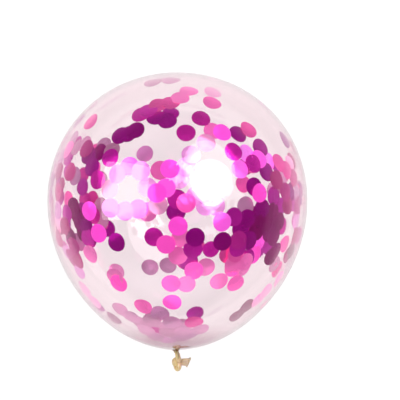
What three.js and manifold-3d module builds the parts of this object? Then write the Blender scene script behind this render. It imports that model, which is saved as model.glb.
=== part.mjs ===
// A clear latex party balloon, tied off, lying on its side. Its long axis runs along Y, with the
// crown towards +Y and the tied neck towards -Y. The origin is the middle of the small flat where
// it rests. The skin is one moulded piece from the crown to the rolled lip, and the knot seals it,
// so it is one closed solid. All sizes are in millimetres.
import * as THREE from 'three';
import { mergeVertices } from 'three/addons/utils/BufferGeometryUtils.js';
import Module from 'manifold-3d';

const wasm = await Module();
wasm.setup();

const { degToRad, lerp, radToDeg, smoothstep } = THREE.MathUtils;

// The blown-up body.
const BODY_WIDTH = 280; // across the widest ring
const CROWN_RISE = 138.5; // from the widest ring to the crown
const NECK_DROP = 160; // from the widest ring to the body's end at the stem
const CROWN_POWER = 2.04; // 2 is an ellipse, and more is fuller at the shoulders
const NECK_SLIMMING = 0.085; // how much slimmer than an ellipse the neck end is
const RESTING_FLAT_DEPTH = 2.4; // how far the skin is pressed in where the balloon rests
const PLEAT_COUNT = 10; // folds in the skin round the stem
const PLEAT_DEPTH = 0.6;
const PLEAT_REACH = 24; // the radius where they fade out

// The twisted stem between the body and the knot.
const STEM_LENGTH = 8.5;
const STEM_RADIUS = 2.9;
const STEM_WAIST = 0.4; // how much slimmer its middle is
const STEM_LOBES = 5;
const STEM_LOBE_DEPTH = 0.35;
const STEM_TWIST = degToRad(150);
const STEM_FAIRING = 3; // radius of the hollow curve from the body into the stem
const STEM_ROOT = 1.5; // how far it runs up inside the body
const PLUG_INSET = 0.2; // how far inside the stem the body's own end stays

// The overhand knot, tied in the neck itself.
const KNOT_WIDTH = 12.5;
const KNOT_HEIGHT = 15;
const KNOT_SHIFT = 2.2; // from the balloon's axis towards the tail
const STRAND_RADIUS = 2.6;
const STRAND_LIFT = 1.7; // how far the strands pass over and under each other

// The flattened tail that comes out of the knot, and the rolled lip round its mouth.
const TAIL_LENGTH = 8;
const TAIL_ROOT = 2; // how far it starts inside the knot
const TAIL_DROP = degToRad(3); // how far it points away from the body
const TAIL_ROLL = degToRad(16); // how far it is turned about its own length
const TAIL_SPREAD = 0.5; // under 1, it widens most beside the knot
const TAIL_FLATTENING = 0.5; // under 1, it flattens most beside the knot
const TAIL_WALL = 0.8;
const MOUTH_WIDTH = 11.5; // the flattened mouth's long way, over the lip
const MOUTH_SLANT = 0.3; // how far the tail's upper edge outruns the lower, for each mm between
const MOUTH_GAP = 2.6; // and its short way, inside
const MOUTH_DEPTH = 3.5; // how far the mouth is open before the skin meets itself
const LIP_BEAD_RADIUS = 1.1;

// How finely the curved faces are cut.
const BODY_SEGMENTS = 60;
const CROWN_STEPS = 14;
const NECK_STEPS = 18;
const NECK_CROWDING = 1.3; // over 1, the body's rings are closer together near the stem
const FAIRING_STEPS = 3;
const STEM_LOBE_SIDES = 6;
const STEM_STEPS = 8;
const STRAND_SIDES = 12;
const STRETCH_COUNT = 5; // the strand is joined from this many stretches
const STRETCH_STEPS = 5;
const BALL_DETAIL = 2;
const TURN_STEP = 0.001; // the stretch of the knot's curve that gives its direction
const TAIL_SIDES = 24;
const TAIL_STEPS = 5;
const LIP_SIDES = 8;
const LIP_SEGMENTS = 28;
const WELD = 0.03; // corners that a join leaves closer than this become one

const UP = new THREE.Vector3(0, 0, 1);
const BODY_RADIUS = BODY_WIDTH / 2;
const AXIS_HEIGHT = BODY_RADIUS - RESTING_FLAT_DEPTH;

// The knot's middle line is a trefoil, which a unit of its curve takes this far from its centre.
const TREFOIL_SIDE = 2.736;
const TREFOIL_TOP = 2.0625;
const TREFOIL_BOTTOM = 3;
const TREFOIL_IN = Math.PI / 2; // where the stem runs into it
const TREFOIL_OUT = 2 * Math.PI + degToRad(50); // where the tail comes out
const KNOT_UNIT_X = (KNOT_WIDTH / 2 - STRAND_RADIUS) / TREFOIL_SIDE;
const KNOT_UNIT_Y = (KNOT_HEIGHT - 2 * STRAND_RADIUS) / (TREFOIL_TOP + TREFOIL_BOTTOM);
const KNOT_Y = -(NECK_DROP + STEM_LENGTH + STRAND_RADIUS + KNOT_UNIT_Y * TREFOIL_TOP);

// A three.js geometry as a solid: its faces share vertices, and none of them is a sliver of two.
function solidOf(geometry) {
  const bare = geometry.clone();
  bare.deleteAttribute('normal');
  bare.deleteAttribute('uv');
  const merged = mergeVertices(bare);
  const corners = merged.index.array;
  const kept = [];
  for (let i = 0; i < corners.length; i += 3) {
    const [a, b, c] = corners.slice(i, i + 3);
    if (a !== b && b !== c && c !== a) kept.push(a, b, c);
  }
  return new wasm.Manifold(new wasm.Mesh({
    numProp: 3,
    vertProperties: merged.attributes.position.array,
    triVerts: Uint32Array.from(kept),
  }));
}

// A solid back as a three.js geometry. Corners closer than WELD are drawn together. The triangles
// that close up with them are left out, and so are two that then lie back to back.
function geometryOf(solid) {
  const { vertProperties, triVerts } = solid.getMesh();
  const positions = new THREE.BufferAttribute(vertProperties, 3);
  const [start, end] = [new THREE.Vector3(), new THREE.Vector3()];
  const leaders = [...Array(positions.count).keys()];
  const leaderOf = (corner) => {
    let leader = corner;
    while (leaders[leader] !== leader) leader = leaders[leader];
    return leader;
  };
  for (let i = 0; i < triVerts.length; i += 1) {
    const next = i % 3 === 2 ? i - 2 : i + 1;
    start.fromBufferAttribute(positions, triVerts[i]);
    end.fromBufferAttribute(positions, triVerts[next]);
    if (start.distanceTo(end) < WELD) leaders[leaderOf(triVerts[next])] = leaderOf(triVerts[i]);
  }
  const triangles = new Map();
  for (let i = 0; i < triVerts.length; i += 3) {
    const corners = [...triVerts.slice(i, i + 3)].map(leaderOf);
    if (new Set(corners).size < 3) continue;
    const name = [...corners].sort((a, b) => a - b).join();
    if (!triangles.delete(name)) triangles.set(name, corners);
  }
  const geometry = new THREE.BufferGeometry();
  geometry.setAttribute('position', positions);
  geometry.setIndex([...triangles.values()].flat());
  geometry.computeVertexNormals();
  return geometry;
}

// Moves every vertex of a geometry by a rule that changes the point in place.
function reshape(geometry, rule) {
  const places = geometry.attributes.position;
  const point = new THREE.Vector3();
  for (let i = 0; i < places.count; i += 1) {
    point.fromBufferAttribute(places, i);
    rule(point);
    places.setXYZ(i, point.x, point.y, point.z);
  }
  return geometry;
}

// The body's radius at a height along the axis, measured from the widest ring.
function bodyRadius(y) {
  if (y >= 0) {
    return BODY_RADIUS * Math.max(0, 1 - (y / CROWN_RISE) ** CROWN_POWER) ** (1 / CROWN_POWER);
  }
  const share = -y / NECK_DROP;
  const ellipse = Math.sqrt(Math.max(0, 1 - share ** 2));
  return BODY_RADIUS * ellipse * (1 - NECK_SLIMMING * share ** 2);
}

// The body's outline: up the hollow fairing from the stem, round the body and to the crown.
function bodyOutline() {
  const plug = STEM_RADIUS - STEM_WAIST - STEM_LOBE_DEPTH - PLUG_INSET;
  const end = -NECK_DROP - STEM_FAIRING;
  const outline = [new THREE.Vector2(0, end)];
  for (let i = 0; i <= FAIRING_STEPS; i += 1) {
    const turn = (Math.PI / 2) * (i / FAIRING_STEPS);
    const radius = plug + STEM_FAIRING * (1 - Math.cos(turn));
    outline.push(new THREE.Vector2(radius, end + STEM_FAIRING * Math.sin(turn)));
  }
  for (let i = 1; i <= NECK_STEPS; i += 1) {
    const turn = (Math.PI / 2) * (1 - (i / NECK_STEPS) ** NECK_CROWDING);
    const y = -NECK_DROP * Math.sin(turn);
    const radius = bodyRadius(y);
    if (radius > plug + STEM_FAIRING) outline.push(new THREE.Vector2(radius, y));
  }
  for (let i = 1; i < CROWN_STEPS; i += 1) {
    const y = CROWN_RISE * Math.sin((Math.PI / 2) * (i / CROWN_STEPS));
    outline.push(new THREE.Vector2(bodyRadius(y), y));
  }
  outline.push(new THREE.Vector2(0, CROWN_RISE));
  return outline;
}

// The body, with pleats in its neck end where the skin gathers into the stem.
function bodySolid() {
  const body = new THREE.LatheGeometry(bodyOutline(), BODY_SEGMENTS);
  reshape(body, (p) => {
    const radius = Math.hypot(p.x, p.z);
    if (p.y > 0 || radius < STEM_RADIUS || radius > PLEAT_REACH) return;
    const fade = (1 - radius / PLEAT_REACH) ** 2;
    p.y += PLEAT_DEPTH * fade * Math.cos(PLEAT_COUNT * Math.atan2(p.z, p.x));
  });
  return solidOf(body);
}

// A point of the knot's middle line.
function knotPoint(turn) {
  return new THREE.Vector3(
    KNOT_SHIFT + KNOT_UNIT_X * (Math.sin(turn) + 2 * Math.sin(2 * turn)),
    KNOT_Y + KNOT_UNIT_Y * (Math.cos(turn) - 2 * Math.cos(2 * turn)),
    -STRAND_LIFT * Math.sin(3 * turn),
  );
}

// The stem: a lobed bar that is twisted along its length and leans over to meet the knot.
function stemSolid() {
  const section = new THREE.Shape();
  const sides = STEM_LOBES * STEM_LOBE_SIDES;
  for (let i = 0; i < sides; i += 1) {
    const angle = (2 * Math.PI * i) / sides;
    const radius = STEM_RADIUS + STEM_LOBE_DEPTH * Math.cos(STEM_LOBES * angle);
    const corner = [radius * Math.cos(angle), radius * Math.sin(angle)];
    if (i === 0) section.moveTo(...corner);
    else section.lineTo(...corner);
  }
  const meeting = knotPoint(TREFOIL_IN);
  const top = STEM_ROOT - NECK_DROP;
  const stem = new THREE.ExtrudeGeometry(section, {
    depth: top - meeting.y,
    steps: STEM_STEPS,
    bevelEnabled: false,
  });
  reshape(stem, (p) => {
    const share = p.z / (top - meeting.y);
    const turn = STEM_TWIST * share;
    const slimming = 1 - (STEM_WAIST / STEM_RADIUS) * Math.sin(Math.PI * share);
    const [x, y] = [p.x * slimming, p.y * slimming];
    const lean = smoothstep(share, 0, 1);
    p.set(
      meeting.x * lean + x * Math.cos(turn) - y * Math.sin(turn),
      top - p.z,
      meeting.z * lean + x * Math.sin(turn) + y * Math.cos(turn),
    );
  });
  return solidOf(stem);
}

// One stretch of the knot's strand, between two turns of its curve. Its end rings depend only on
// the turn, so each stretch meets the next one face to face.
function strandSolid(from, to) {
  const strand = new THREE.CylinderGeometry(
    STRAND_RADIUS,
    STRAND_RADIUS,
    1,
    STRAND_SIDES,
    STRETCH_STEPS,
  );
  const [across, over] = [new THREE.Vector3(), new THREE.Vector3()];
  return solidOf(reshape(strand, (p) => {
    const turn = lerp(from, to, p.y + 0.5);
    const along = knotPoint(turn + TURN_STEP).sub(knotPoint(turn - TURN_STEP)).normalize();
    across.crossVectors(along, UP).normalize();
    over.crossVectors(across, along);
    const [x, z] = [p.x, p.z];
    p.copy(knotPoint(turn)).addScaledVector(across, x).addScaledVector(over, z);
  }));
}

// A ball of the given half sizes round a centre.
function ballSolid(centre, halfX, halfY, halfZ) {
  const ball = new THREE.IcosahedronGeometry(1, BALL_DETAIL);
  ball.scale(halfX, halfY, halfZ);
  ball.translate(centre.x, centre.y, centre.z);
  return solidOf(ball);
}

// The knot, with the bend where the stem runs into it and the middle that it squeezes shut.
function knotSolid() {
  const stretch = (TREFOIL_OUT - TREFOIL_IN) / STRETCH_COUNT;
  const bend = STEM_RADIUS + STEM_LOBE_DEPTH;
  const middle = new THREE.Vector3(KNOT_SHIFT, KNOT_Y, 0);
  const pieces = [
    ballSolid(knotPoint(TREFOIL_IN), bend, bend, bend),
    ballSolid(middle, 2 * KNOT_UNIT_X, 2 * KNOT_UNIT_Y, STRAND_RADIUS),
  ];
  for (let i = 0; i < STRETCH_COUNT; i += 1) {
    pieces.push(strandSolid(TREFOIL_IN + i * stretch, TREFOIL_IN + (i + 1) * stretch));
  }
  return wasm.Manifold.union(pieces);
}

// A tube along X that starts round and ends wide and flat, between two places on the tail.
function flattenedTube(start, end, rootRadius, halfWidth, halfGap) {
  const length = end - start;
  const tube = new THREE.CylinderGeometry(1, 1, length, TAIL_SIDES, TAIL_STEPS);
  return solidOf(reshape(tube, (p) => {
    const share = p.y / length + 0.5;
    const wide = lerp(rootRadius, halfWidth, share ** TAIL_SPREAD);
    const thick = lerp(rootRadius, halfGap, share ** TAIL_FLATTENING);
    const y = -p.x * wide;
    p.set(lerp(start, end, share) + MOUTH_SLANT * share * y, y, p.z * thick);
  }));
}

// The rolled lip: a bead that follows the mouth's oval, which is widest along Y.
function lipSolid(halfWidth, halfGap) {
  const ring = new THREE.TorusGeometry(halfWidth, LIP_BEAD_RADIUS, LIP_SIDES, LIP_SEGMENTS);
  return solidOf(reshape(ring, (p) => {
    const angle = Math.atan2(p.y, p.x);
    const out = Math.hypot(p.x, p.y) - halfWidth;
    const normal = new THREE.Vector2(Math.cos(angle) * halfGap, Math.sin(angle) * halfWidth);
    normal.setLength(out);
    const y = halfWidth * Math.cos(angle) + normal.x;
    p.set(TAIL_LENGTH + p.z + MOUTH_SLANT * y, y, halfGap * Math.sin(angle) + normal.y);
  }));
}

// The tail with its lip, and its mouth open as far as the skin's two sides stay apart.
function tailSolid() {
  const halfWidth = MOUTH_WIDTH / 2 - LIP_BEAD_RADIUS;
  const halfGap = MOUTH_GAP / 2;
  const outside = flattenedTube(
    -TAIL_ROOT,
    TAIL_LENGTH,
    STRAND_RADIUS,
    halfWidth,
    halfGap + TAIL_WALL,
  );
  const inside = flattenedTube(
    TAIL_LENGTH - MOUTH_DEPTH,
    TAIL_LENGTH + LIP_BEAD_RADIUS,
    halfGap / 2,
    halfWidth - TAIL_WALL,
    halfGap,
  );
  const root = knotPoint(TREFOIL_OUT);
  return outside.add(lipSolid(halfWidth, halfGap + TAIL_WALL / 2)).subtract(inside)
    .rotate([radToDeg(TAIL_ROLL), 0, 0])
    .rotate([0, 0, -radToDeg(TAIL_DROP)])
    .translate([root.x, root.y, root.z]);
}

// The block of the surface below, which presses the skin flat where the balloon rests.
function surfaceSolid() {
  const block = new THREE.BoxGeometry(BODY_WIDTH, BODY_WIDTH, BODY_WIDTH);
  block.translate(0, 0, -AXIS_HEIGHT - BODY_WIDTH / 2);
  return solidOf(block);
}

function latexMaterial() {
  return new THREE.MeshStandardMaterial({
    color: 0xf1e4e2,
    roughness: 0.12,
    metalness: 0,
    transparent: true,
    opacity: 0.3,
  });
}

const skin = wasm.Manifold.union([bodySolid(), stemSolid(), knotSolid(), tailSolid()])
  .subtract(surfaceSolid());
const balloon = new THREE.Mesh(geometryOf(skin), latexMaterial());
balloon.name = 'latex_balloon';
balloon.position.set(0, 0, AXIS_HEIGHT);

const part = new THREE.Group();
part.add(balloon);

export default part;
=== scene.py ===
# %% [markdown]
# # A sequin balloon
#
# The real thing is a clear latex balloon, about as wide as a forearm is long, with round foil
# dots that cling to the inside of its skin. It is tied in its own neck and lies on a table, and
# the camera looks straight down on it. The lesson makes it in three pieces: the thin clear skin,
# the knotted neck and the dots.
#
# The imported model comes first. It is one closed solid with the balloon's real size and place, and
# everything made here keeps to its box.

# %% Load the frame
import math
import random

import bpy
from mathutils import Matrix, Vector


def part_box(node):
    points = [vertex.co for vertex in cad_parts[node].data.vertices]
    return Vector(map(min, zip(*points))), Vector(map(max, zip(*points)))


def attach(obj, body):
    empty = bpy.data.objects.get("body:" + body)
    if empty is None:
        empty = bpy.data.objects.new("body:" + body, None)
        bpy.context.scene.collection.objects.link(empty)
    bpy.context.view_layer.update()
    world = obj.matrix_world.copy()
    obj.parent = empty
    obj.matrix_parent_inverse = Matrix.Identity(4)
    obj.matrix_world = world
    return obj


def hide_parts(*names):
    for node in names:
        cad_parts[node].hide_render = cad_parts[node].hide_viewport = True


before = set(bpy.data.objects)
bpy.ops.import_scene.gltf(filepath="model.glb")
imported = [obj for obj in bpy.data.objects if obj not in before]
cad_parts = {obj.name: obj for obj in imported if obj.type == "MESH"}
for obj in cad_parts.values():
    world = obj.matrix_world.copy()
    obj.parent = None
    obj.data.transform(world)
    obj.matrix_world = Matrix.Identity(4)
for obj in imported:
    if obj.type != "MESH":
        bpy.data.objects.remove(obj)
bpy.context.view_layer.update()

# %% [markdown]
# The main sizes are read off the solid's box, so the skin made here can't drift away from it. The
# others are those that the solid was drawn with. Blender works in metres, so each millimetre size
# is multiplied by MM.

# %% Sizes of the balloon
MM = 0.001

box_low, box_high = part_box("latex_balloon")
RADIUS = (box_high.x - box_low.x) / 2  # of the widest ring
AXIS_HEIGHT = box_high.z - RADIUS  # the long axis over the table
CROWN_RISE = box_high.y  # from the widest ring to the crown
NECK_DROP = 160 * MM  # from the widest ring to where the body ends at the stem
CROWN_POWER = 2.04  # 2 is an ellipse, and more is fuller at the shoulders
NECK_SLIMMING = 0.085  # how much slimmer than an ellipse the neck end is
print("Widest ring, mm:", round(2000 * RADIUS), " axis height, mm:", round(1000 * AXIS_HEIGHT, 1))

# %% [markdown]
# ## Colour and nodes
#
# A colour listed here is an sRGB hex value, but shaders work in linear light. One function
# turns the first into the second. Another adds a node with its settings and links in one call, so
# each material below reads as a short list.


# %% Colour and node helpers
def linear(hex_colour):
    """An sRGB hex colour as linear RGBA."""
    channels = [int(hex_colour[i : i + 2], 16) / 255 for i in (1, 3, 5)]
    return [c / 12.92 if c <= 0.04045 else ((c + 0.055) / 1.055) ** 2.4 for c in channels] + [1]


def add_node(tree, kind, links=None, values=None, **settings):
    """A new node. links maps an input to another node's output, values to a number or colour."""
    node = tree.nodes.new(kind)
    for name, value in settings.items():
        setattr(node, name, value)
    for key, value in (values or {}).items():
        node.inputs[key].default_value = value
    for key, output in (links or {}).items():
        tree.links.new(output, node.inputs[key])
    return node


def new_material(name):
    """A material with an empty node tree."""
    material = bpy.data.materials.new(name)
    material.use_nodes = True
    material.node_tree.nodes.clear()
    return material


def set_ramp(ramp, stops):
    """Gives a colour ramp its stops, as pairs of a position and a hex colour."""
    elements = ramp.color_ramp.elements
    while len(elements) < len(stops):
        elements.new(1)
    for element, (position, colour) in zip(elements, stops):
        element.position = position
        element.color = linear(colour)


# %% [markdown]
# ## Camera
#
# The photo is 400 pixels square and shows the balloon 260 pixels wide, so each pixel is about
# 1.08 mm at the balloon's axis. The camera hangs over the table with a long lens. It is turned a
# little, because the balloon leans a little in the photo.

# %% Camera
PHOTO_SIDE = 400  # pixels
BALLOON_PIXELS = 260  # the widest ring's width in the photo
RING_CENTRE_PIXEL = (177.5, 201)  # the widest ring's centre in the photo
PIXEL = 2 * RADIUS / BALLOON_PIXELS
CAMERA_DISTANCE = 2.2  # from the balloon's axis
CAMERA_ROLL = math.radians(0.7)
ROLL = Matrix.Rotation(CAMERA_ROLL, 3, "Z")


def photo_offset(pixel):
    """How far a pixel lies from the photo's middle, in metres at the balloon's axis."""
    across, down = pixel
    return Vector(((across - PHOTO_SIDE / 2) * PIXEL, (PHOTO_SIDE / 2 - down) * PIXEL, 0))


camera = bpy.data.objects.new("camera", bpy.data.cameras.new("camera"))
bpy.context.scene.collection.objects.link(camera)
bpy.context.scene.camera = camera
camera.data.lens = camera.data.sensor_width * CAMERA_DISTANCE / (PHOTO_SIDE * PIXEL)
camera.location = ROLL @ -photo_offset(RING_CENTRE_PIXEL)
camera.location.z = AXIS_HEIGHT + CAMERA_DISTANCE
camera.rotation_euler.z = CAMERA_ROLL
print("Millimetres for each pixel:", round(1000 * PIXEL, 3), " lens:", round(camera.data.lens))

# %% [markdown]
# ## The clear skin
#
# A blown balloon is a surface of revolution: its outline is one curve, turned about the long axis.
# The crown half is a slightly full ellipse, and the neck half is slimmer. Where the neck is
# gathered, the outline turns into the stem in a small hollow curve. Rings are placed along the
# outline by angle, so they are closer where it bends most.


# %% Outline of the body
STEM_RADIUS = 2.9 * MM
PLUG_RADIUS = 1.95 * MM  # of the body's own end, inside the stem
FAIRING = 3 * MM  # radius of the hollow curve from the body into the stem
CROWDING = 1.3  # over 1, the rings crowd towards the neck


def body_radius(y):
    """The body's radius at a place along the axis, measured from the widest ring."""
    if y >= 0:
        return RADIUS * max(0, 1 - (y / CROWN_RISE) ** CROWN_POWER) ** (1 / CROWN_POWER)
    share = -y / NECK_DROP
    return RADIUS * math.sqrt(max(0, 1 - share**2)) * (1 - NECK_SLIMMING * share**2)


def body_outline(fairing_steps=5, neck_steps=48, crown_steps=40):
    """Pairs of radius and place along the axis, from the stem to the crown."""
    end = -NECK_DROP - FAIRING
    outline = []
    for i in range(fairing_steps + 1):
        turn = math.pi / 2 * i / fairing_steps
        radius = PLUG_RADIUS + FAIRING * (1 - math.cos(turn))
        outline.append((radius, end + FAIRING * math.sin(turn)))
    for i in range(1, neck_steps + 1):
        y = -NECK_DROP * math.cos(math.pi / 2 * (i / neck_steps) ** CROWDING)
        if body_radius(y) > PLUG_RADIUS + FAIRING:
            outline.append((body_radius(y), y))
    for i in range(1, crown_steps):
        y = CROWN_RISE * math.sin(math.pi / 2 * i / crown_steps)
        outline.append((body_radius(y), y))
    return outline


print("Outline rings:", len(body_outline()))

# %% [markdown]
# The rings become a mesh with a single point at each end. Fine pleats run into the stem, as the
# skin gathers there. The skin is soft, so it is pressed flat where it lies on the table, and the
# press fades out smoothly round the patch. A Solidify modifier then gives the sheet its true
# thickness, which lets the light bend in and out of it as it does in a real film.

# %% Skin mesh
SKIN_SEGMENTS = 160
WALL = 0.2 * MM
PLEAT_COUNT = 10
PLEAT_DEPTH = 0.6 * MM
FINE_PLEAT_DEPTH = 0.2 * MM
PLEAT_REACH = 24 * MM  # the radius where the pleats fade out
PRESS_FADE = 1.6 * MM  # the height over which the pressed patch fades into the round skin


def pleated(radius, angle):
    """How far the pleats move the skin along the axis."""
    if radius < STEM_RADIUS or radius > PLEAT_REACH:
        return 0
    fade = (1 - radius / PLEAT_REACH) ** 2
    coarse = PLEAT_DEPTH * math.cos(PLEAT_COUNT * angle)
    fine = FINE_PLEAT_DEPTH * math.cos(3 * PLEAT_COUNT * angle + 1)
    return fade * (coarse + fine)


def pressed(z):
    """A height over the table after the table has pressed the skin flat."""
    if z >= PRESS_FADE:
        return z
    return max(0, z + PRESS_FADE) ** 2 / (4 * PRESS_FADE)


def mesh_object(name, vertices, faces):
    """A new smooth mesh object in the scene."""
    mesh = bpy.data.meshes.new(name)
    mesh.from_pydata(vertices, [], faces)
    mesh.update()
    mesh.shade_smooth()
    made = bpy.data.objects.new(name, mesh)
    bpy.context.scene.collection.objects.link(made)
    return made


def ring_faces(rings, sides):
    """Quads between neighbouring rings of vertices, facing outwards."""
    faces = []
    for ring in range(rings - 1):
        for side in range(sides):
            a = ring * sides + side
            b = ring * sides + (side + 1) % sides
            faces.append((a, b, b + sides, a + sides))
    return faces


def fan_faces(centre, first, sides, outwards):
    """Triangles that close a ring of vertices with one point."""
    faces = []
    for side in range(sides):
        pair = (first + side, first + (side + 1) % sides)
        faces.append((centre, *pair) if outwards else (centre, *reversed(pair)))
    return faces


def make_skin():
    """The body's skin, as a closed sheet."""
    outline = body_outline()
    vertices = []
    for radius, y in outline:
        for side in range(SKIN_SEGMENTS):
            angle = 2 * math.pi * side / SKIN_SEGMENTS
            z = AXIS_HEIGHT + radius * math.sin(angle)
            place = y + (pleated(radius, angle) if y < 0 else 0)
            vertices.append((radius * math.cos(angle), place, pressed(z)))
    faces = [face[::-1] for face in ring_faces(len(outline), SKIN_SEGMENTS)]
    first_of_last = len(vertices) - SKIN_SEGMENTS
    vertices.append((0, outline[0][1], AXIS_HEIGHT))
    faces += fan_faces(len(vertices) - 1, 0, SKIN_SEGMENTS, True)
    vertices.append((0, CROWN_RISE, AXIS_HEIGHT))
    faces += fan_faces(len(vertices) - 1, first_of_last, SKIN_SEGMENTS, False)
    return mesh_object("latex_skin", vertices, faces)


skin = make_skin()
wall = skin.modifiers.new("wall", "SOLIDIFY")
wall.thickness = WALL
wall.offset = -1
print("Skin faces on each side:", len(skin.data.polygons))

# %% [markdown]
# ## Clear latex
#
# Stretched natural latex is a clear, faintly pink film with a wet shine. It bends light nearly as
# thick rubber does, so it gets full transmission and an index near 1.5, with a trace of coat.
# At a glancing angle the eye looks through much more rubber, and it turns milky, so its colour
# deepens from where it faces the eye to its edge. At the gathered neck the rubber is thicker, and
# its own amber starts to show.

# %% Clear latex material
LATEX_IOR = 1.52
SKIN_IOR = 1.45  # a little less, so that the skin's own gloss doesn't hide the dark dots
THICK_REACH = 0.15 * NECK_DROP  # how far from the stem the gathered skin is thicker


def clear_latex():
    """Stretched natural latex: clear and faintly pink, deeper at a glancing angle."""
    material = new_material("clear natural latex")
    tree = material.node_tree
    glance = add_node(tree, "ShaderNodeLayerWeight", values={"Blend": 0.5})
    body = add_node(tree, "ShaderNodeValToRGB", {"Fac": glance.outputs["Facing"]})
    set_ramp(body, [(0.05, "#FDF7F9"), (0.4, "#FBF3F5"), (0.75, "#EADADF"), (1, "#B8909F")])
    place = add_node(tree, "ShaderNodeTexCoord")
    along = add_node(tree, "ShaderNodeSeparateXYZ", {"Vector": place.outputs["Object"]})
    stretched = add_node(
        tree,
        "ShaderNodeMapRange",
        {"Value": along.outputs["Y"]},
        {"From Min": -NECK_DROP - FAIRING, "From Max": THICK_REACH - NECK_DROP},
    )
    thick = add_node(tree, "ShaderNodeValToRGB", {"Fac": stretched.outputs["Result"]})
    set_ramp(thick, [(0, "#FAEED6"), (0.08, "#F0E2DA"), (0.16, "#D0B8C2"), (1, "#FFFFFF")])
    tint = add_node(
        tree,
        "ShaderNodeMix",
        {6: body.outputs["Color"], 7: thick.outputs["Color"]},
        {0: 1},
        data_type="RGBA",
        blend_type="MULTIPLY",
    )
    shader = add_node(
        tree,
        "ShaderNodeBsdfPrincipled",
        {"Base Color": tint.outputs[2]},
        {
            "Roughness": 0.03,
            "IOR": SKIN_IOR,
            "Transmission Weight": 1,
            "Coat Weight": 0.1,
            "Coat Roughness": 0.05,
        },
    )
    add_node(tree, "ShaderNodeOutputMaterial", {"Surface": shader.outputs["BSDF"]})
    return material


skin.data.materials.append(clear_latex())

# %% [markdown]
# ## The knotted neck
#
# The neck isn't stretched, so its rubber is thick and amber. Below the body it is twisted into a
# stem, then tied in an overhand knot. What is left of the neck comes out of the knot as a short
# flattened tail with a rolled lip. The knot follows a trefoil, the curve of an overhand knot with
# its ends joined. Each part is made as rings along a path.

# %% Sizes of the neck
STEM_LENGTH = 8.5 * MM
STEM_ROOT = 1.5 * MM  # how far the stem runs up inside the body
STEM_WAIST = 0.4 * MM
STEM_LOBES = 5
STEM_LOBE_DEPTH = 0.35 * MM
STEM_CREASE_DEPTH = 0.12 * MM
STEM_TWIST = math.radians(150)
KNOT_WIDTH = 12.5 * MM
KNOT_HEIGHT = 15 * MM
KNOT_SHIFT = 2.2 * MM  # from the balloon's axis towards the tail
STRAND_RADIUS = 2.6 * MM
STRAND_LIFT = 1.7 * MM
TREFOIL_SIDE = 2.736  # how far a unit of the trefoil reaches from its centre
TREFOIL_TOP = 2.0625
TREFOIL_BOTTOM = 3
TREFOIL_IN = math.pi / 2  # where the stem runs into it
TREFOIL_OUT = 2 * math.pi + math.radians(50)  # where the tail comes out
KNOT_UNIT_X = (KNOT_WIDTH / 2 - STRAND_RADIUS) / TREFOIL_SIDE
KNOT_UNIT_Y = (KNOT_HEIGHT - 2 * STRAND_RADIUS) / (TREFOIL_TOP + TREFOIL_BOTTOM)
KNOT_Y = -(NECK_DROP + STEM_LENGTH + STRAND_RADIUS + KNOT_UNIT_Y * TREFOIL_TOP)
print("Knot's middle from the widest ring, mm:", round(1000 * KNOT_Y, 1))

# %% [markdown]
# A ring is a loop of points round a centre, in a plane that its two directions give. A list of
# rings makes a closed tube once its ends are capped. The stem's rings have lobes and creases and
# turn as they go down, and the knot's rings stay round.


# %% Stem and knot
def tube(name, rings):
    """A closed tube through a list of rings of points."""
    sides = len(rings[0])
    vertices = [point for ring in rings for point in ring]
    faces = ring_faces(len(rings), sides)
    faces.append(tuple(reversed(range(sides))))
    faces.append(tuple(range(len(vertices) - sides, len(vertices))))
    return mesh_object(name, vertices, faces)


def knot_point(turn):
    """A point of the knot's middle line."""
    return Vector(
        (
            KNOT_SHIFT + KNOT_UNIT_X * (math.sin(turn) + 2 * math.sin(2 * turn)),
            KNOT_Y + KNOT_UNIT_Y * (math.cos(turn) - 2 * math.cos(2 * turn)),
            AXIS_HEIGHT - STRAND_LIFT * math.sin(3 * turn),
        )
    )


def make_stem(steps=24, sides=60):
    """The twisted stem, which leans over to meet the knot."""
    meeting = knot_point(TREFOIL_IN)
    top = Vector((0, STEM_ROOT - NECK_DROP, AXIS_HEIGHT))
    rings = []
    for step in range(steps + 1):
        share = step / steps
        lean = share * share * (3 - 2 * share)
        slimming = 1 - STEM_WAIST / STEM_RADIUS * math.sin(math.pi * share)
        ring = []
        for side in range(sides):
            angle = -2 * math.pi * side / sides
            lobe = STEM_LOBE_DEPTH * math.cos(STEM_LOBES * angle)
            crease = STEM_CREASE_DEPTH * math.cos(3 * STEM_LOBES * angle + 1)
            radius = (STEM_RADIUS + lobe + crease) * slimming
            turned = angle + STEM_TWIST * share
            x = lean * meeting.x + radius * math.cos(turned)
            z = AXIS_HEIGHT + lean * (meeting.z - AXIS_HEIGHT) + radius * math.sin(turned)
            ring.append((x, top.y + share * (meeting.y - top.y), z))
        rings.append(ring)
    return tube("stem", rings)


def make_strand(steps=90, sides=28):
    """The knot's strand, a round tube along the trefoil."""
    nudge = 0.001
    rings = []
    for step in range(steps + 1):
        turn = TREFOIL_IN + (TREFOIL_OUT - TREFOIL_IN) * step / steps
        along = (knot_point(turn + nudge) - knot_point(turn - nudge)).normalized()
        across = along.cross(Vector((0, 0, 1))).normalized()
        over = across.cross(along)
        ring = []
        for side in range(sides):
            angle = -2 * math.pi * side / sides
            crease = STEM_CREASE_DEPTH * math.cos(2 * STEM_LOBES * angle + 4 * turn)
            reach = STRAND_RADIUS + crease
            offset = across * reach * math.cos(angle) + over * reach * math.sin(angle)
            ring.append(knot_point(turn) + offset)
        rings.append(ring)
    return tube("strand", rings)


def make_ball(name, centre, half_sizes):
    """A round filler with the given half sizes."""
    bpy.ops.mesh.primitive_ico_sphere_add(subdivisions=4, radius=1)
    ball = bpy.context.object
    ball.name = name
    ball.data.transform(Matrix.Translation(centre) @ Matrix.Diagonal((*half_sizes, 1)))
    return ball


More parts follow.
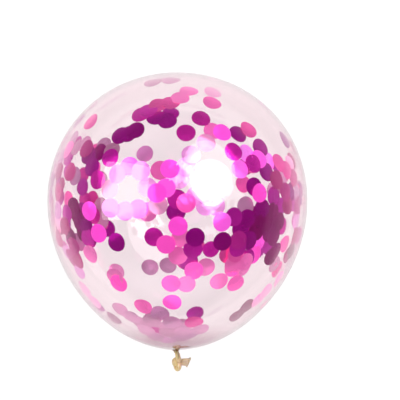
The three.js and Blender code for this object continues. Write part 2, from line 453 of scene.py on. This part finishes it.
stem = make_stem()
strand = make_strand()
bend_radius = STEM_RADIUS + STEM_LOBE_DEPTH
bend = make_ball("bend", knot_point(TREFOIL_IN), [bend_radius] * 3)
middle_sizes = (2 * KNOT_UNIT_X, 2 * KNOT_UNIT_Y, STRAND_RADIUS)
middle = make_ball("middle", Vector((KNOT_SHIFT, KNOT_Y, AXIS_HEIGHT)), middle_sizes)
print("Strand faces:", len(strand.data.polygons))

# %% [markdown]
# The tail is made the same way, with oval rings. They run out along its outside, over the rolled
# lip and back into the mouth, so that one tube gives the outside, the bead and the opening.

# %% Tail and lip
TAIL_LENGTH = 8 * MM
TAIL_ROOT = 2 * MM
TAIL_DROP = math.radians(3)
TAIL_ROLL = math.radians(16)
TAIL_SPREAD = 0.5  # under 1, it widens most beside the knot
TAIL_FLATTENING = 0.5
TAIL_WALL = 0.8 * MM
MOUTH_WIDTH = 11.5 * MM
MOUTH_GAP = 2.6 * MM
MOUTH_SLANT = 0.3  # how far the upper edge outruns the lower, for each unit between them
MOUTH_DEPTH = 3.5 * MM
MOUTH_CLOSING = 0.6  # how much of its width the mouth loses by its bottom
LIP_BEAD = 1.1 * MM  # the rolled lip's radius
BEAD_ARC = 270  # degrees of the bead that show, from the outside round to the mouth


def tail_stations(side_rings=16, bead_rings=15, mouth_rings=4):
    """The tail's rings as distance along it, half width and half gap, ending in the mouth."""
    half_width = MOUTH_WIDTH / 2 - LIP_BEAD
    half_gap = MOUTH_GAP / 2
    stations = []
    for i in range(side_rings):
        share = i / side_rings
        wide = STRAND_RADIUS + (half_width - STRAND_RADIUS) * share**TAIL_SPREAD
        thick = STRAND_RADIUS
        thick += (half_gap + TAIL_WALL - STRAND_RADIUS) * share**TAIL_FLATTENING
        stations.append((-TAIL_ROOT + (TAIL_LENGTH + TAIL_ROOT - LIP_BEAD) * share, wide, thick))
    for i in range(bead_rings):
        turn = math.radians(BEAD_ARC * i / (bead_rings - 1) - BEAD_ARC / 2)
        out = LIP_BEAD * math.cos(turn)
        along = TAIL_LENGTH + LIP_BEAD * math.sin(turn)
        stations.append((along, half_width + out, half_gap + TAIL_WALL / 2 + out))
    for i in range(1, mouth_rings + 1):
        share = i / mouth_rings
        along = TAIL_LENGTH - MOUTH_DEPTH * share
        close = 1 - MOUTH_CLOSING * share
        stations.append((along, (half_width - TAIL_WALL) * close, half_gap * close))
    return stations


def make_tail(sides=48):
    """The flattened tail with its rolled lip and open mouth."""
    turn = Matrix.Rotation(-TAIL_DROP, 3, "Z") @ Matrix.Rotation(TAIL_ROLL, 3, "X")
    rings = []
    for along, wide, thick in tail_stations():
        slant = MOUTH_SLANT * max(0, along + TAIL_ROOT) / (TAIL_LENGTH + TAIL_ROOT)
        ring = []
        for side in range(sides):
            angle = 2 * math.pi * side / sides
            y = wide * math.cos(angle)
            place = Vector((along + slant * y, y, thick * math.sin(angle)))
            ring.append(knot_point(TREFOIL_OUT) + turn @ place)
        rings.append(ring)
    return tube("tail", rings)


tail = make_tail()
print("Tail rings:", len(tail_stations()))

# %% [markdown]
# The stem, knot and tail are one skin on the real balloon. A voxel remesh melts them together
# and rounds the creases where they meet, as soft rubber does when it is pulled tight.

# %% One knotted neck
NECK_VOXEL = 0.22 * MM
SMOOTHING_PASSES = 3


def plain_copy(source, name):
    """The object as its modifiers make it, as a new object with a plain mesh."""
    graph = bpy.context.evaluated_depsgraph_get()
    mesh = bpy.data.meshes.new_from_object(source.evaluated_get(graph))
    bpy.data.objects.remove(source)
    made = bpy.data.objects.new(name, mesh)
    bpy.context.scene.collection.objects.link(made)
    return made


def melted(parts, name):
    """The parts as one smooth piece."""
    bpy.ops.object.select_all(action="DESELECT")
    for part in parts:
        part.select_set(True)
    bpy.context.view_layer.objects.active = parts[0]
    bpy.ops.object.join()
    joined = bpy.context.object
    remesh = joined.modifiers.new("remesh", "REMESH")
    remesh.mode = "VOXEL"
    remesh.voxel_size = NECK_VOXEL
    smooth = joined.modifiers.new("smooth", "SMOOTH")
    smooth.iterations = SMOOTHING_PASSES
    made = plain_copy(joined, name)
    made.data.shade_smooth()
    return made


neck = melted([stem, strand, bend, middle, tail], "knotted_neck")
print("Neck faces:", len(neck.data.polygons))

# %% [markdown]
# ## Thick latex
#
# The same rubber, unstretched, is a cloudy honey colour. The twisted stem and the knot are
# deepest, and the flattened tail is paler, with a darker edge where the lip is rolled up. Light
# goes a few millimetres in and comes out elsewhere, so much of the colour is light scattered under
# the surface, and only a little passes straight through.


# %% Thick latex material
CLOUD_SIZE = 4 * MM
CLOUD_SHADES = (0.85, 1.1)  # its darkest and palest, as shares of the rubber's colour


def thick_latex():
    """Unstretched natural latex: cloudy honey amber, paler in the flat tail."""
    material = new_material("unstretched natural latex")
    tree = material.node_tree
    place = add_node(tree, "ShaderNodeTexCoord")
    across = add_node(tree, "ShaderNodeSeparateXYZ", {"Vector": place.outputs["Object"]})
    tail_end = knot_point(TREFOIL_OUT).x + TAIL_LENGTH
    share = add_node(
        tree,
        "ShaderNodeMapRange",
        {"Value": across.outputs["X"]},
        {"From Min": KNOT_SHIFT - KNOT_WIDTH / 2, "From Max": tail_end + LIP_BEAD},
    )
    tint = add_node(tree, "ShaderNodeValToRGB", {"Fac": share.outputs["Result"]})
    amber_to_peach = [(0, "#E4D29C"), (0.25, "#FFE4A4"), (0.5, "#FFDCB0"), (0.85, "#FFE2C4")]
    set_ramp(tint, [*amber_to_peach, (0.97, "#D8C4A0")])
    clouds = add_node(
        tree,
        "ShaderNodeTexNoise",
        {"Vector": place.outputs["Object"]},
        {"Scale": 1 / CLOUD_SIZE, "Detail": 3},
    )
    shade = add_node(
        tree,
        "ShaderNodeMapRange",
        {"Value": clouds.outputs["Fac"]},
        {"To Min": CLOUD_SHADES[0], "To Max": CLOUD_SHADES[1]},
    )
    colour = add_node(
        tree,
        "ShaderNodeVectorMath",
        {0: tint.outputs["Color"], "Scale": shade.outputs["Result"]},
        operation="SCALE",
    )
    shader = add_node(
        tree,
        "ShaderNodeBsdfPrincipled",
        {"Base Color": colour.outputs["Vector"]},
        {
            "Roughness": 0.3,
            "IOR": LATEX_IOR,
            "Transmission Weight": 0.1,
            "Subsurface Weight": 0.5,
            "Subsurface Radius": (1, 0.7, 0.4),
            "Subsurface Scale": 3 * MM,
            "Coat Weight": 0.5,
            "Coat Roughness": 0.15,
        },
    )
    add_node(tree, "ShaderNodeOutputMaterial", {"Surface": shader.outputs["BSDF"]})
    return material


neck.data.materials.append(thick_latex())

# %% [markdown]
# ## Where the foil dots lie
#
# The dots were blown about when the balloon was filled, and they cling where they landed. Those
# that the camera sees best are placed one by one: each has the pixel of its middle in the photo
# and a tone. The tone is painted light and shade: how bright the dot looks there, put into its
# colour. A line of sight through that pixel meets the skin twice, once on the near side and once
# on the far side, and the dot lies just inside that place. Where dots overlap, the one listed
# first lies on top, so the last group fills what shows between the others.

# %% Dots read from the photo
# The tones are painted light and shade: dark tones for dots in shade, hot tones for dots that catch
# a lamp, lilac and orchid for dots under the skin's highlights, and duller tones for dots seen
# through more skin.
CROWN = {
    "pale": [(153, 82), (171, 80)],
    "pink": [(189, 91), (180, 98), (212, 103)],
    "rose": [(171, 102), (158, 104), (248, 130)],
    "magenta": [(148, 109), (140, 113), (201, 119), (186, 133)],
    "purple": [(155, 115), (167, 118)],
    "dark": [(134, 128), (118, 133), (126, 131)],
}
LEFT = {
    "hot": [(90, 211), (99, 233)],
    "pink": [(91, 254), (69, 150)],
    "rose": [(91, 122)],
    "wine": [(87, 149), (71, 172), (66, 226), (74, 246), (78, 260)],
    "magenta": [(111, 158), (98, 180), (88, 238), (67, 214)],
    "pale": [(109, 149)],
    "purple": [(117, 242), (92, 167)],
    "dark": [(88, 155), (86, 228)],
    "deep": [(73, 207), (71, 236), (78, 222), (75, 216), (95, 150), (80, 233)],
    "mauve": [(75, 176), (99, 143), (76, 243)],
}
MIDDLE = {
    "dark": [(195, 237), (222, 241)],
    "hot": [(222, 222), (170, 169), (157, 193), (166, 188), (178, 226)],
    "candy": [(166, 244), (186, 203)],
    "magenta": [(193, 249), (154, 237), (177, 199)],
    "lilac": [(117, 174), (141, 171), (129, 166), (111, 208), (125, 211), (138, 209)],
    "orchid": [(191, 155), (186, 167), (179, 179), (196, 196), (206, 206), (217, 206), (147, 187)],
    "mist": [(206, 143), (158, 205), (109, 189)],
    "pink": [(147, 212), (160, 170), (181, 238), (178, 256)],
    "purple": [(176, 212)],
}
RIGHT = {
    "magenta": [(233, 152), (253, 164), (238, 240), (238, 248)],
    "hot": [(222, 133), (259, 193), (259, 159)],
    "candy": [(213, 131)],
    "lilac": [(247, 153), (240, 169)],
    "rose": [(237, 254), (278, 163), (286, 170)],
    "pink": [(234, 265), (247, 263)],
    "wine": [(276, 180), (285, 192), (288, 205)],
    "purple": [(238, 134), (261, 147), (234, 217), (267, 172), (274, 196)],
    "dark": [(254, 187), (248, 219), (262, 208), (250, 241)],
    "deep": [(264, 222), (270, 233), (258, 232), (274, 212)],
    "mauve": [(247, 206), (281, 184)],
}
FILLED = {
    "lilac": [(269, 161)],
    "deep": [(281, 222), (256, 216), (272, 226), (277, 238), (270, 256), (279, 253)],
    "dark": [(242, 230)],
    "purple": [(86, 240), (80, 212), (250, 260)],
    "rose": [(230, 256), (186, 262)],
    "candy": [(258, 257)],
    "hot": [(263, 244)],
}
NECK_END = {
    "candy": [(119, 283), (171, 283), (186, 284), (172, 302), (235, 283), (219, 281), (194, 271)],
    "pink": [(143, 306), (206, 268), (235, 270), (245, 270), (115, 277)],
    "rose": [(194, 322)],
    "purple": [(189, 263)],
    "pale": [(152, 320), (172, 322), (132, 317), (183, 331), (168, 333), (146, 330), (200, 330)],
    "mauve": [(160, 314), (156, 338), (180, 339), (168, 342), (190, 336)],
}
EDGE = {
    "wine": [(59, 192), (60, 172), (60, 238), (70, 258), (294, 178), (297, 205), (294, 236)],
    "mauve": [(73, 139), (62, 158), (58, 210), (64, 250), (78, 271), (298, 192), (296, 222)],
    "mist": [(85, 288), (94, 301), (58, 224), (291, 164), (278, 279), (265, 291), (258, 300)],
    "brown": [(291, 250), (247, 307), (238, 316)],
}
FAR_SIDE = {
    "mauve": [(145, 154), (150, 267), (168, 265), (160, 312)],
    "mist": [(213, 92), (117, 271)],
    "pale": [(140, 322), (150, 326), (165, 328), (182, 326), (120, 309), (160, 334)],
    "brown": [(114, 318)],
}
NEAR_SIDE = (CROWN, LEFT, MIDDLE, RIGHT, NECK_END, EDGE, FILLED)
print("Dots placed by eye:", sum(len(d) for c in (*NEAR_SIDE, FAR_SIDE) for d in c.values()))

# %% [markdown]
# A line of sight is followed down to a shell a little inside the skin, at the depth where most
# dots come to lie, so that they show at their pixels. Each step of the search takes the height
# from the step before.

# %% Lines of sight to the dots
DOT_SEED = 11
DOT_RADIUS = 10 * MM
USUAL_DEPTH = 3 * MM  # of a dot's middle inside the skin
SEARCH_STEPS = 8


def on_shell(pixel, near):
    """The place on the shell behind a pixel, on its near or far side, or None past its edge."""
    depth = AXIS_HEIGHT
    offset = photo_offset(pixel)
    for _ in range(SEARCH_STEPS):
        spread = (camera.location.z - depth) / CAMERA_DISTANCE
        place = camera.location + ROLL @ (offset * spread)
        radius = body_radius(place.y) - USUAL_DEPTH if abs(place.y) < NECK_DROP else 0
        drop = radius**2 - place.x**2
        if drop <= 0:
            return None
        depth = AXIS_HEIGHT + math.sqrt(drop) * (1 if near else -1)
    return Vector((place.x, place.y, depth))


def outward(place):
    """The direction out of the balloon at a place on its skin."""
    step = 0.1 * MM
    slope = (body_radius(place.y + step) - body_radius(place.y - step)) / (2 * step)
    from_axis = Vector((place.x, 0, place.z - AXIS_HEIGHT))
    return (from_axis.normalized() - Vector((0, slope, 0))).normalized()


print("Shell under the ring's centre, mm:", [round(1000 * c) for c in on_shell((178, 201), True)])

# %% [markdown]
# The rest are scattered by a seeded random draw, so every run gives the same balloon. They fill
# the sides, which the camera sees edge-on, and the crowded places on the far side. The clear
# windows between the crowds stay clear.

# %% Scattered dots
SIDE_DOTS = 44
FAR_DOTS = 46
CROWDED_PLACES = {  # pixel of the middle, and half width and half height in pixels
    "right": (262, 208, 36, 60),
    "left": (84, 205, 26, 66),
    "belt": (228, 242, 34, 22),
    "gathering": (170, 322, 34, 16),
    "crown": (160, 110, 20, 9),
}
BALLOON_COLUMNS = (50, 305)  # of the photo
BALLOON_ROWS = (80, 345)
SIDE_SPREAD = 60  # mm along the balloon, to either side of the widest ring
SIDE_LIMITS = (-0.8 * NECK_DROP, 0.75 * CROWN_RISE)
SIDE_ANGLES = (62, 118)  # degrees round the balloon from its top


def crowded(pixel):
    """Whether a pixel is in one of the crowded places."""
    for x, y, half_width, half_height in CROWDED_PLACES.values():
        if ((pixel[0] - x) / half_width) ** 2 + ((pixel[1] - y) / half_height) ** 2 < 1:
            return True
    return False


def side_places(count, draw):
    """Places on the balloon's two sides, which the camera sees edge-on."""
    places = []
    while len(places) < count:
        y = draw.gauss(0, SIDE_SPREAD) * MM
        if not SIDE_LIMITS[0] < y < SIDE_LIMITS[1]:
            continue
        turn = math.radians(draw.uniform(*SIDE_ANGLES)) * draw.choice((-1, 1))
        radius = body_radius(y) - USUAL_DEPTH
        places.append(Vector((radius * math.sin(turn), y, AXIS_HEIGHT + radius * math.cos(turn))))
    return places


def far_places(count, draw):
    """Places on the far side, behind the crowds of the near side."""
    places = []
    while len(places) < count:
        pixel = (draw.uniform(*BALLOON_COLUMNS), draw.uniform(*BALLOON_ROWS))
        place = on_shell(pixel, False)
        if place and crowded(pixel):
            places.append(place)
    return places


# %% [markdown]
# A dot is stiffer than the skin, so it touches it only here and there. Each one is tilted a few
# degrees at random, then moved inwards until its whole rim is inside the skin. A dot that overlaps
# others lies a layer deeper than they do.

# %% Settle the dots inside the skin
TILT = math.radians(3.5)
SKIN_GAP = 0.8 * MM  # between a dot's rim and the skin's outside
LAYER = 0.9 * MM
RIM_POINTS = 12
SETTLING_STEP = 0.1 * MM


def is_inside(place, gap):
    """Whether a place is inside the skin by at least the gap."""
    if not -NECK_DROP < place.y < CROWN_RISE:
        return False
    from_axis = math.hypot(place.x, place.z - AXIS_HEIGHT)
    return from_axis < body_radius(place.y) - gap and place.z > gap


def settled(place, layer, draw):
    """A dot's middle and its tilted direction, moved inwards until its rim is inside."""
    out = outward(place)
    facing = (out + out.orthogonal().normalized() * math.tan(draw.uniform(0, TILT))).normalized()
    facing.rotate(Matrix.Rotation(draw.uniform(0, 2 * math.pi), 3, out))
    first = facing.orthogonal().normalized()
    second = facing.cross(first)
    rim = []
    for i in range(RIM_POINTS):
        angle = 2 * math.pi * i / RIM_POINTS
        rim.append(DOT_RADIUS * (first * math.cos(angle) + second * math.sin(angle)))
    gap = SKIN_GAP + LAYER * layer
    middle = place + out * (USUAL_DEPTH - gap)
    while not all(is_inside(middle + edge, gap) for edge in rim):
        middle -= out * SETTLING_STEP
    return middle, facing


# %% [markdown]
# ## Foil dots
#
# Each dot is a punched disc of thin film, never quite flat. A Geometry Nodes tree makes one disc
# and sets it on every place, turned to face out of the balloon, with a curl like the skin's own.
# The places are the vertices of a helper mesh that carries the direction and tone of each dot.

# %% Dot places as a mesh
PAINTED_TONES_AND_GLOW = {  # each tone's colour, with painted light and shade in it, and the strength of its painted glow, in the order of the colour ramp
    "deep": ("#800660", 0.62),
    "dark": ("#90087C", 0.6),
    "purple": ("#A41890", 0.5),
    "magenta": ("#CC24A8", 0.5),
    "wine": ("#B02C7C", 0.5),
    "rose": ("#EE54AE", 0.5),
    "pink": ("#FF7CCC", 0.48),
    "mist": ("#F4B4DC", 0.42),
    "candy": ("#FF5AC2", 0.7),
    "hot": ("#FF50DC", 0.78),
    "lilac": ("#FF84FF", 0.62),
    "orchid": ("#FFA8F4", 0.55),
    "mauve": ("#CC8CBC", 0.36),
    "pale": ("#DC9CC4", 0.36),
    "brown": ("#A05C82", 0.3),
}
TONES = {tone: number / (len(PAINTED_TONES_AND_GLOW) - 1) for number, tone in enumerate(PAINTED_TONES_AND_GLOW)}
TONE_JITTER = 0.03  # how far a dot's tone strays along the ramp
SCATTERED_TONES = ["rose", "wine", "magenta", "purple", "pale"]


def dot_places():
    """Each dot's place, outward direction and tone."""
    draw = random.Random(DOT_SEED)
    found = []
    for crowd in NEAR_SIDE:
        for tone, pixels in crowd.items():
            found += [(on_shell(pixel, True), TONES[tone]) for pixel in pixels]
    for tone, pixels in FAR_SIDE.items():
        found += [(on_shell(pixel, False), TONES[tone]) for pixel in pixels]
    for place in side_places(SIDE_DOTS, draw) + far_places(FAR_DOTS, draw):
        found.append((place, TONES[draw.choice(SCATTERED_TONES)]))
    dots = []
    layers = []
    for place, tone in found:
        above = [layer for other, layer in layers if (other - place).length < 2 * DOT_RADIUS]
        layer = max(above, default=-1) + 1
        layers.append((place, layer))
        middle, facing = settled(place, layer, draw)
        dots.append((middle, facing, tone + draw.uniform(-TONE_JITTER, TONE_JITTER)))
    print("Deepest layer:", max(layer for _, layer in layers))
    return dots


def dot_helper(dots):
    """The helper mesh: a vertex for each dot, with its direction and tone."""
    helper = mesh_object("dot_places", [place for place, _, _ in dots], [])
    attributes = helper.data.attributes
    attributes.new("facing", "FLOAT_VECTOR", "POINT")
    attributes.new("tone", "FLOAT", "POINT")
    for number, (_, facing, tone) in enumerate(dots):
        attributes["facing"].data[number].vector = facing
        attributes["tone"].data[number].value = tone
    return helper


helper = dot_helper(dot_places())
print("Dots:", len(helper.data.vertices))

# %% [markdown]
# ## Metallised film
#
# The dots are polyester film with a mirror-bright metal layer, lacquered pink. Metal takes its
# colour into its reflections, so a dot is deep purple where it faces the dark ceiling and hot pink
# where it faces a lamp. Each dot's colour also has its own tone, from deep purple to hot pink and
# lilac, and that tone is painted light and shade: it paints in how brightly the dot is lit and
# whether the skin's highlight lies over it. Each dot also has a small painted glow in its tone,
# strongest in the hottest tones, though it is no lamp. The film has faint dents that break up
# its reflections.


# %% Metallised film material
DENT_SIZE = 14 * MM
DENT_DEPTH = 1.5 * MM


def metallised_film():
    """Metallised polyester film: a tinted mirror, slightly dented, with painted tones and glow."""
    material = new_material("metallised film with painted tones and glow")
    tree = material.node_tree
    # The tone attribute brings each dot's painted light and shade into its colour.
    tone = add_node(tree, "ShaderNodeAttribute", attribute_name="tone")
    stops = [(TONES[name], colour) for name, (colour, _) in PAINTED_TONES_AND_GLOW.items()]
    lacquer_and_painted_light = add_node(tree, "ShaderNodeValToRGB", {"Fac": tone.outputs["Fac"]})
    set_ramp(lacquer_and_painted_light, stops)
    # A painted glow: each dot gives off light in its own tone, strongest in the hottest tones,
    # though it is no lamp.
    painted_glow = add_node(tree, "ShaderNodeValToRGB", {"Fac": tone.outputs["Fac"]})
    set_ramp(painted_glow, stops)
    for element, (_, share) in zip(painted_glow.color_ramp.elements, PAINTED_TONES_AND_GLOW.values()):
        element.color = [share * channel for channel in element.color[:3]] + [1]
    place = add_node(tree, "ShaderNodeTexCoord")
    dents = add_node(
        tree,
        "ShaderNodeTexNoise",
        {"Vector": place.outputs["Object"]},
        {"Scale": 1 / DENT_SIZE, "Detail": 2},
    )
    bump = add_node(
        tree,
        "ShaderNodeBump",
        {"Height": dents.outputs["Fac"]},
        {"Strength": 0.5, "Distance": DENT_DEPTH},
    )
    shader = add_node(
        tree,
        "ShaderNodeBsdfPrincipled",
        {
            "Base Color": lacquer_and_painted_light.outputs["Color"],
            "Emission Color": painted_glow.outputs["Color"],
            "Normal": bump.outputs["Normal"],
        },
        {
            "Metallic": 0.75,
            "Roughness": 0.26,
            "Specular IOR Level": 0,
            "Emission Strength": 1,
        },
    )
    add_node(tree, "ShaderNodeOutputMaterial", {"Surface": shader.outputs["BSDF"]})
    return material


film = metallised_film()

# %% [markdown]
# The tree starts from a very flat cylinder. Its ends are fans of triangles with an extra ring, so
# that lifting each point by the square of its distance from one line curls the disc. The disc is
# set on each point of the helper mesh with its face inwards and a random spin.


# %% Geometry Nodes tree of the dots
def dots_tree():
    """A tree that sets a curled disc on every point of the helper mesh."""
    tree = bpy.data.node_groups.new("foil dots", "GeometryNodeTree")
    sockets = {
        "Dot radius": "NodeSocketFloat",
        "Film thickness": "NodeSocketFloat",
        "Curl height": "NodeSocketFloat",
        "Sides": "NodeSocketInt",
        "Seed": "NodeSocketInt",
        "Film": "NodeSocketMaterial",
    }
    for way in ("INPUT", "OUTPUT"):
        tree.interface.new_socket("Dots", in_out=way, socket_type="NodeSocketGeometry")
    for name, kind in sockets.items():
        tree.interface.new_socket(name, in_out="INPUT", socket_type=kind)
    given = add_node(tree, "NodeGroupInput").outputs
    disc = add_node(
        tree,
        "GeometryNodeMeshCylinder",
        {
            "Vertices": given["Sides"],
            "Radius": given["Dot radius"],
            "Depth": given["Film thickness"],
        },
        {"Fill Segments": 2},
        fill_type="TRIANGLE_FAN",
    )
    place = add_node(tree, "GeometryNodeInputPosition")
    axes = add_node(tree, "ShaderNodeSeparateXYZ", {"Vector": place.outputs["Position"]})
    share = add_node(
        tree,
        "ShaderNodeMath",
        {0: axes.outputs["X"], 1: given["Dot radius"]},
        operation="DIVIDE",
    )
    squared = add_node(tree, "ShaderNodeMath", {0: share.outputs[0]}, {1: 2}, operation="POWER")
    lift = add_node(
        tree,
        "ShaderNodeMath",
        {0: squared.outputs[0], 1: given["Curl height"]},
        operation="MULTIPLY",
    )
    offset = add_node(tree, "ShaderNodeCombineXYZ", {"Z": lift.outputs[0]})
    curled = add_node(
        tree,
        "GeometryNodeSetPosition",
        {"Geometry": disc.outputs["Mesh"], "Offset": offset.outputs[0]},
    )
    facing = add_node(
        tree,
        "GeometryNodeInputNamedAttribute",
        values={"Name": "facing"},
        data_type="FLOAT_VECTOR",
    )
    inward = add_node(
        tree,
        "ShaderNodeVectorMath",
        {0: facing.outputs["Attribute"]},
        {"Scale": -1},
        operation="SCALE",
    )
    aimed = add_node(
        tree, "FunctionNodeAlignRotationToVector", {"Vector": inward.outputs["Vector"]}, axis="Z"
    )
    spin = add_node(
        tree,
        "FunctionNodeRandomValue",
        {"Seed": given["Seed"]},
        {"Min": (0, 0, 0), "Max": (0, 0, 2 * math.pi)},
        data_type="FLOAT_VECTOR",
    )
    turned = add_node(
        tree,
        "FunctionNodeRotateRotation",
        {"Rotation": aimed.outputs[0], "Rotate By": spin.outputs[0]},
        rotation_space="LOCAL",
    )
    set_out = add_node(
        tree,
        "GeometryNodeInstanceOnPoints",
        {
            "Points": given["Dots"],
            "Instance": curled.outputs["Geometry"],
            "Rotation": turned.outputs[0],
        },
    )
    real = add_node(tree, "GeometryNodeRealizeInstances", {0: set_out.outputs["Instances"]})
    filmed = add_node(
        tree,
        "GeometryNodeSetMaterial",
        {"Geometry": real.outputs[0], "Material": given["Film"]},
    )
    add_node(tree, "NodeGroupOutput", {0: filmed.outputs[0]})
    return tree


# %% [markdown]
# The modifier gets the real sizes. What it makes becomes one plain mesh, with its rims kept sharp.

# %% Make the dots
FILM_THICKNESS = 0.06 * MM  # about three times the real film's, so that it doesn't vanish
CURL_HEIGHT = 1.1 * MM  # how far two edges of a dot lift off the flat
DOT_SIDES = 16


def make_dots(places):
    """The foil dots as one plain mesh."""
    modifier = places.modifiers.new("foil dots", "NODES")
    modifier.node_group = dots_tree()
    given = {
        "Dot radius": DOT_RADIUS,
        "Film thickness": FILM_THICKNESS,
        "Curl height": CURL_HEIGHT,
        "Sides": DOT_SIDES,
        "Seed": DOT_SEED,
        "Film": film,
    }
    for socket in modifier.node_group.interface.items_tree:
        if socket.name in given:
            modifier[socket.identifier] = given[socket.name]
    return plain_copy(places, "foil_dots")


dots = make_dots(helper)
dots.data.shade_smooth()
dots.data.set_sharp_from_angle(angle=math.radians(50))
print("Faces of all dots:", len(dots.data.polygons))

# %% [markdown]
# ## Table and light
#
# The table is a sheet of opal acrylic, lit from below, which keeps the background white and the
# shadows light. Its glow fades outwards, so that the skin has something darker to bend at its
# edge.

# %% Table
TABLE_SIDE = 8
TABLE_GAP = 0.3 * MM  # so that the skin and the table don't share a surface
TABLE_GLOW = 0.92  # in the middle
FAR_GLOW = 0.35
GLOW_INNER = 0.75  # where it starts to fade, and where it has faded
GLOW_OUTER = 1.1
GLOW_SHAPE = (1.6, 1, 0)  # narrower across the balloon than along it
GLOW_SHIFT = (0, 0.45, 0)  # how far its middle lies from the balloon's, on the neck's side


def opal_acrylic():
    """Opal acrylic lit from below: a pale glow that keeps shadows light and fades outwards."""
    material = new_material("opal acrylic, lit from below")
    tree = material.node_tree
    place = add_node(tree, "ShaderNodeTexCoord")
    reach = add_node(
        tree,
        "ShaderNodeVectorMath",
        {0: place.outputs["Object"]},
        {1: GLOW_SHAPE, 2: GLOW_SHIFT},
        operation="MULTIPLY_ADD",
    )
    distance = add_node(
        tree, "ShaderNodeVectorMath", {0: reach.outputs["Vector"]}, operation="LENGTH"
    )
    glow = add_node(
        tree,
        "ShaderNodeMapRange",
        {"Value": distance.outputs["Value"]},
        {
            "From Min": GLOW_INNER,
            "From Max": GLOW_OUTER,
            "To Min": TABLE_GLOW,
            "To Max": FAR_GLOW,
        },
        interpolation_type="SMOOTHSTEP",
    )
    shader = add_node(
        tree,
        "ShaderNodeBsdfPrincipled",
        {"Emission Strength": glow.outputs["Result"]},
        {
            "Base Color": linear("#7E7C7D"),
            "Roughness": 0.7,
            "Specular IOR Level": 0.1,
            "Emission Color": linear("#FFFDFD"),
        },
    )
    add_node(tree, "ShaderNodeOutputMaterial", {"Surface": shader.outputs["BSDF"]})
    return material


half = TABLE_SIDE / 2
corners = [(-half, -half), (half, -half), (half, half), (-half, half)]
table = mesh_object("table", [(x, y, -TABLE_GAP) for x, y in corners], [(0, 1, 2, 3)])
table.data.materials.append(opal_acrylic())
print("Table, m:", [round(side, 2) for side in table.dimensions])

# %% [markdown]
# A studio lights a shiny thing with large soft lamps, because each lamp shows in it as a
# reflection. Each lamp here is a soft panel with brighter tubes in its middle. One is to the left
# and one high on the right, and their sizes are those of the two bright panes in the photo.

# %% Lamps
LAMP_DISTANCE = 1.3
LEFT_LAMP = Vector((-0.707, 0.128, 0.695))  # its direction from the balloon
RIGHT_LAMP = Vector((0.446, 0.395, 0.803))
RIGHT_TUBES = Vector((0.47, 0.29, 0.835))
LAMPS = {  # shape, direction, width and height in metres, and brightness
    "left panel": ("RECTANGLE", LEFT_LAMP, 1.0, 0.97, 2.4),
    "left tubes": ("RECTANGLE", LEFT_LAMP, 0.9, 0.34, 5),
    "right panel": ("ELLIPSE", RIGHT_LAMP, 1.02, 1.3, 1.8),
    "right tubes": ("ELLIPSE", RIGHT_TUBES, 0.83, 0.75, 3),
}


def add_lamp(name, shape, direction, width, height, brightness):
    """A soft lamp that faces the balloon. brightness is the radiance of its front."""
    data = bpy.data.lights.new(name, "AREA")
    data.shape = shape
    data.size = width
    data.size_y = height
    data.energy = brightness * math.pi * width * height
    lamp = bpy.data.objects.new(name, data)
    bpy.context.scene.collection.objects.link(lamp)
    back = direction.normalized()
    side = Vector((0, 1, 0)).cross(back).normalized()
    turn = Matrix((side, back.cross(side), back)).transposed()
    place = Vector((0, 0, AXIS_HEIGHT)) + back * LAMP_DISTANCE
    lamp.matrix_world = Matrix.LocRotScale(place, turn.to_quaternion(), None)


for name, settings in LAMPS.items():
    add_lamp(name, *settings)
print("Lamps:", ", ".join(LAMPS))

# %% [markdown]
# The foil mirrors the room as well, and what it mirrors gives it its range from purple to pink. So
# the room is dim overhead, with one pale wall beyond the neck.

# %% Room
WALL_BRIGHTNESS = 1.15  # of the pale wall beyond the neck
WALL_EDGES = (-0.6, -0.9)  # how far a view turns to the neck where the wall starts and is full
WALL_RISE = 0.35  # how steep a view is where the wall is full, over the table's far edge


def make_room():
    """A dim room with one pale wall, beyond the neck."""
    world = bpy.data.worlds.new("studio")
    bpy.context.scene.world = world
    world.use_nodes = True
    tree = world.node_tree
    tree.nodes.clear()
    view = add_node(tree, "ShaderNodeTexCoord")
    axes = add_node(tree, "ShaderNodeSeparateXYZ", {"Vector": view.outputs["Generated"]})
    height = add_node(tree, "ShaderNodeValToRGB", {"Fac": axes.outputs["Z"]})
    set_ramp(height, [(0, "#A8A3A6"), (0.12, "#625D60"), (0.4, "#3C383E"), (1, "#302C30")])
    to_wall = add_node(
        tree,
        "ShaderNodeMapRange",
        {"Value": axes.outputs["Y"]},
        {"From Min": WALL_EDGES[0], "From Max": WALL_EDGES[1]},
        interpolation_type="SMOOTHSTEP",
    )
    above_table = add_node(
        tree,
        "ShaderNodeMapRange",
        {"Value": axes.outputs["Z"]},
        {"From Min": 0, "From Max": WALL_RISE},
        interpolation_type="SMOOTHSTEP",
    )
    on_wall = add_node(
        tree,
        "ShaderNodeMath",
        {0: to_wall.outputs["Result"], 1: above_table.outputs["Result"]},
        operation="MULTIPLY",
    )
    wall = add_node(
        tree,
        "ShaderNodeVectorMath",
        values={0: linear("#FFF4FA")[:3], "Scale": WALL_BRIGHTNESS},
        operation="SCALE",
    )
    glow = add_node(
        tree,
        "ShaderNodeMix",
        {0: on_wall.outputs[0], 6: height.outputs["Color"], 7: wall.outputs["Vector"]},
        data_type="RGBA",
    )
    back = add_node(tree, "ShaderNodeBackground", {"Color": glow.outputs[2]})
    add_node(tree, "ShaderNodeOutputWorld", {"Surface": back.outputs["Background"]})


make_room()
bpy.context.scene.view_settings.view_transform = "Standard"

# %% [markdown]
# ## Hand over
#
# Each piece rides on the balloon's one body. The skin and the neck together stand for the packed
# solid, which is then hidden.

# %% Hand over to the frame
for piece, slot in ((skin, "latex"), (neck, "latex"), (dots, "foil_dots")):
    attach(piece, "root")
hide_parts("latex_balloon")
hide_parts("latex_balloon")
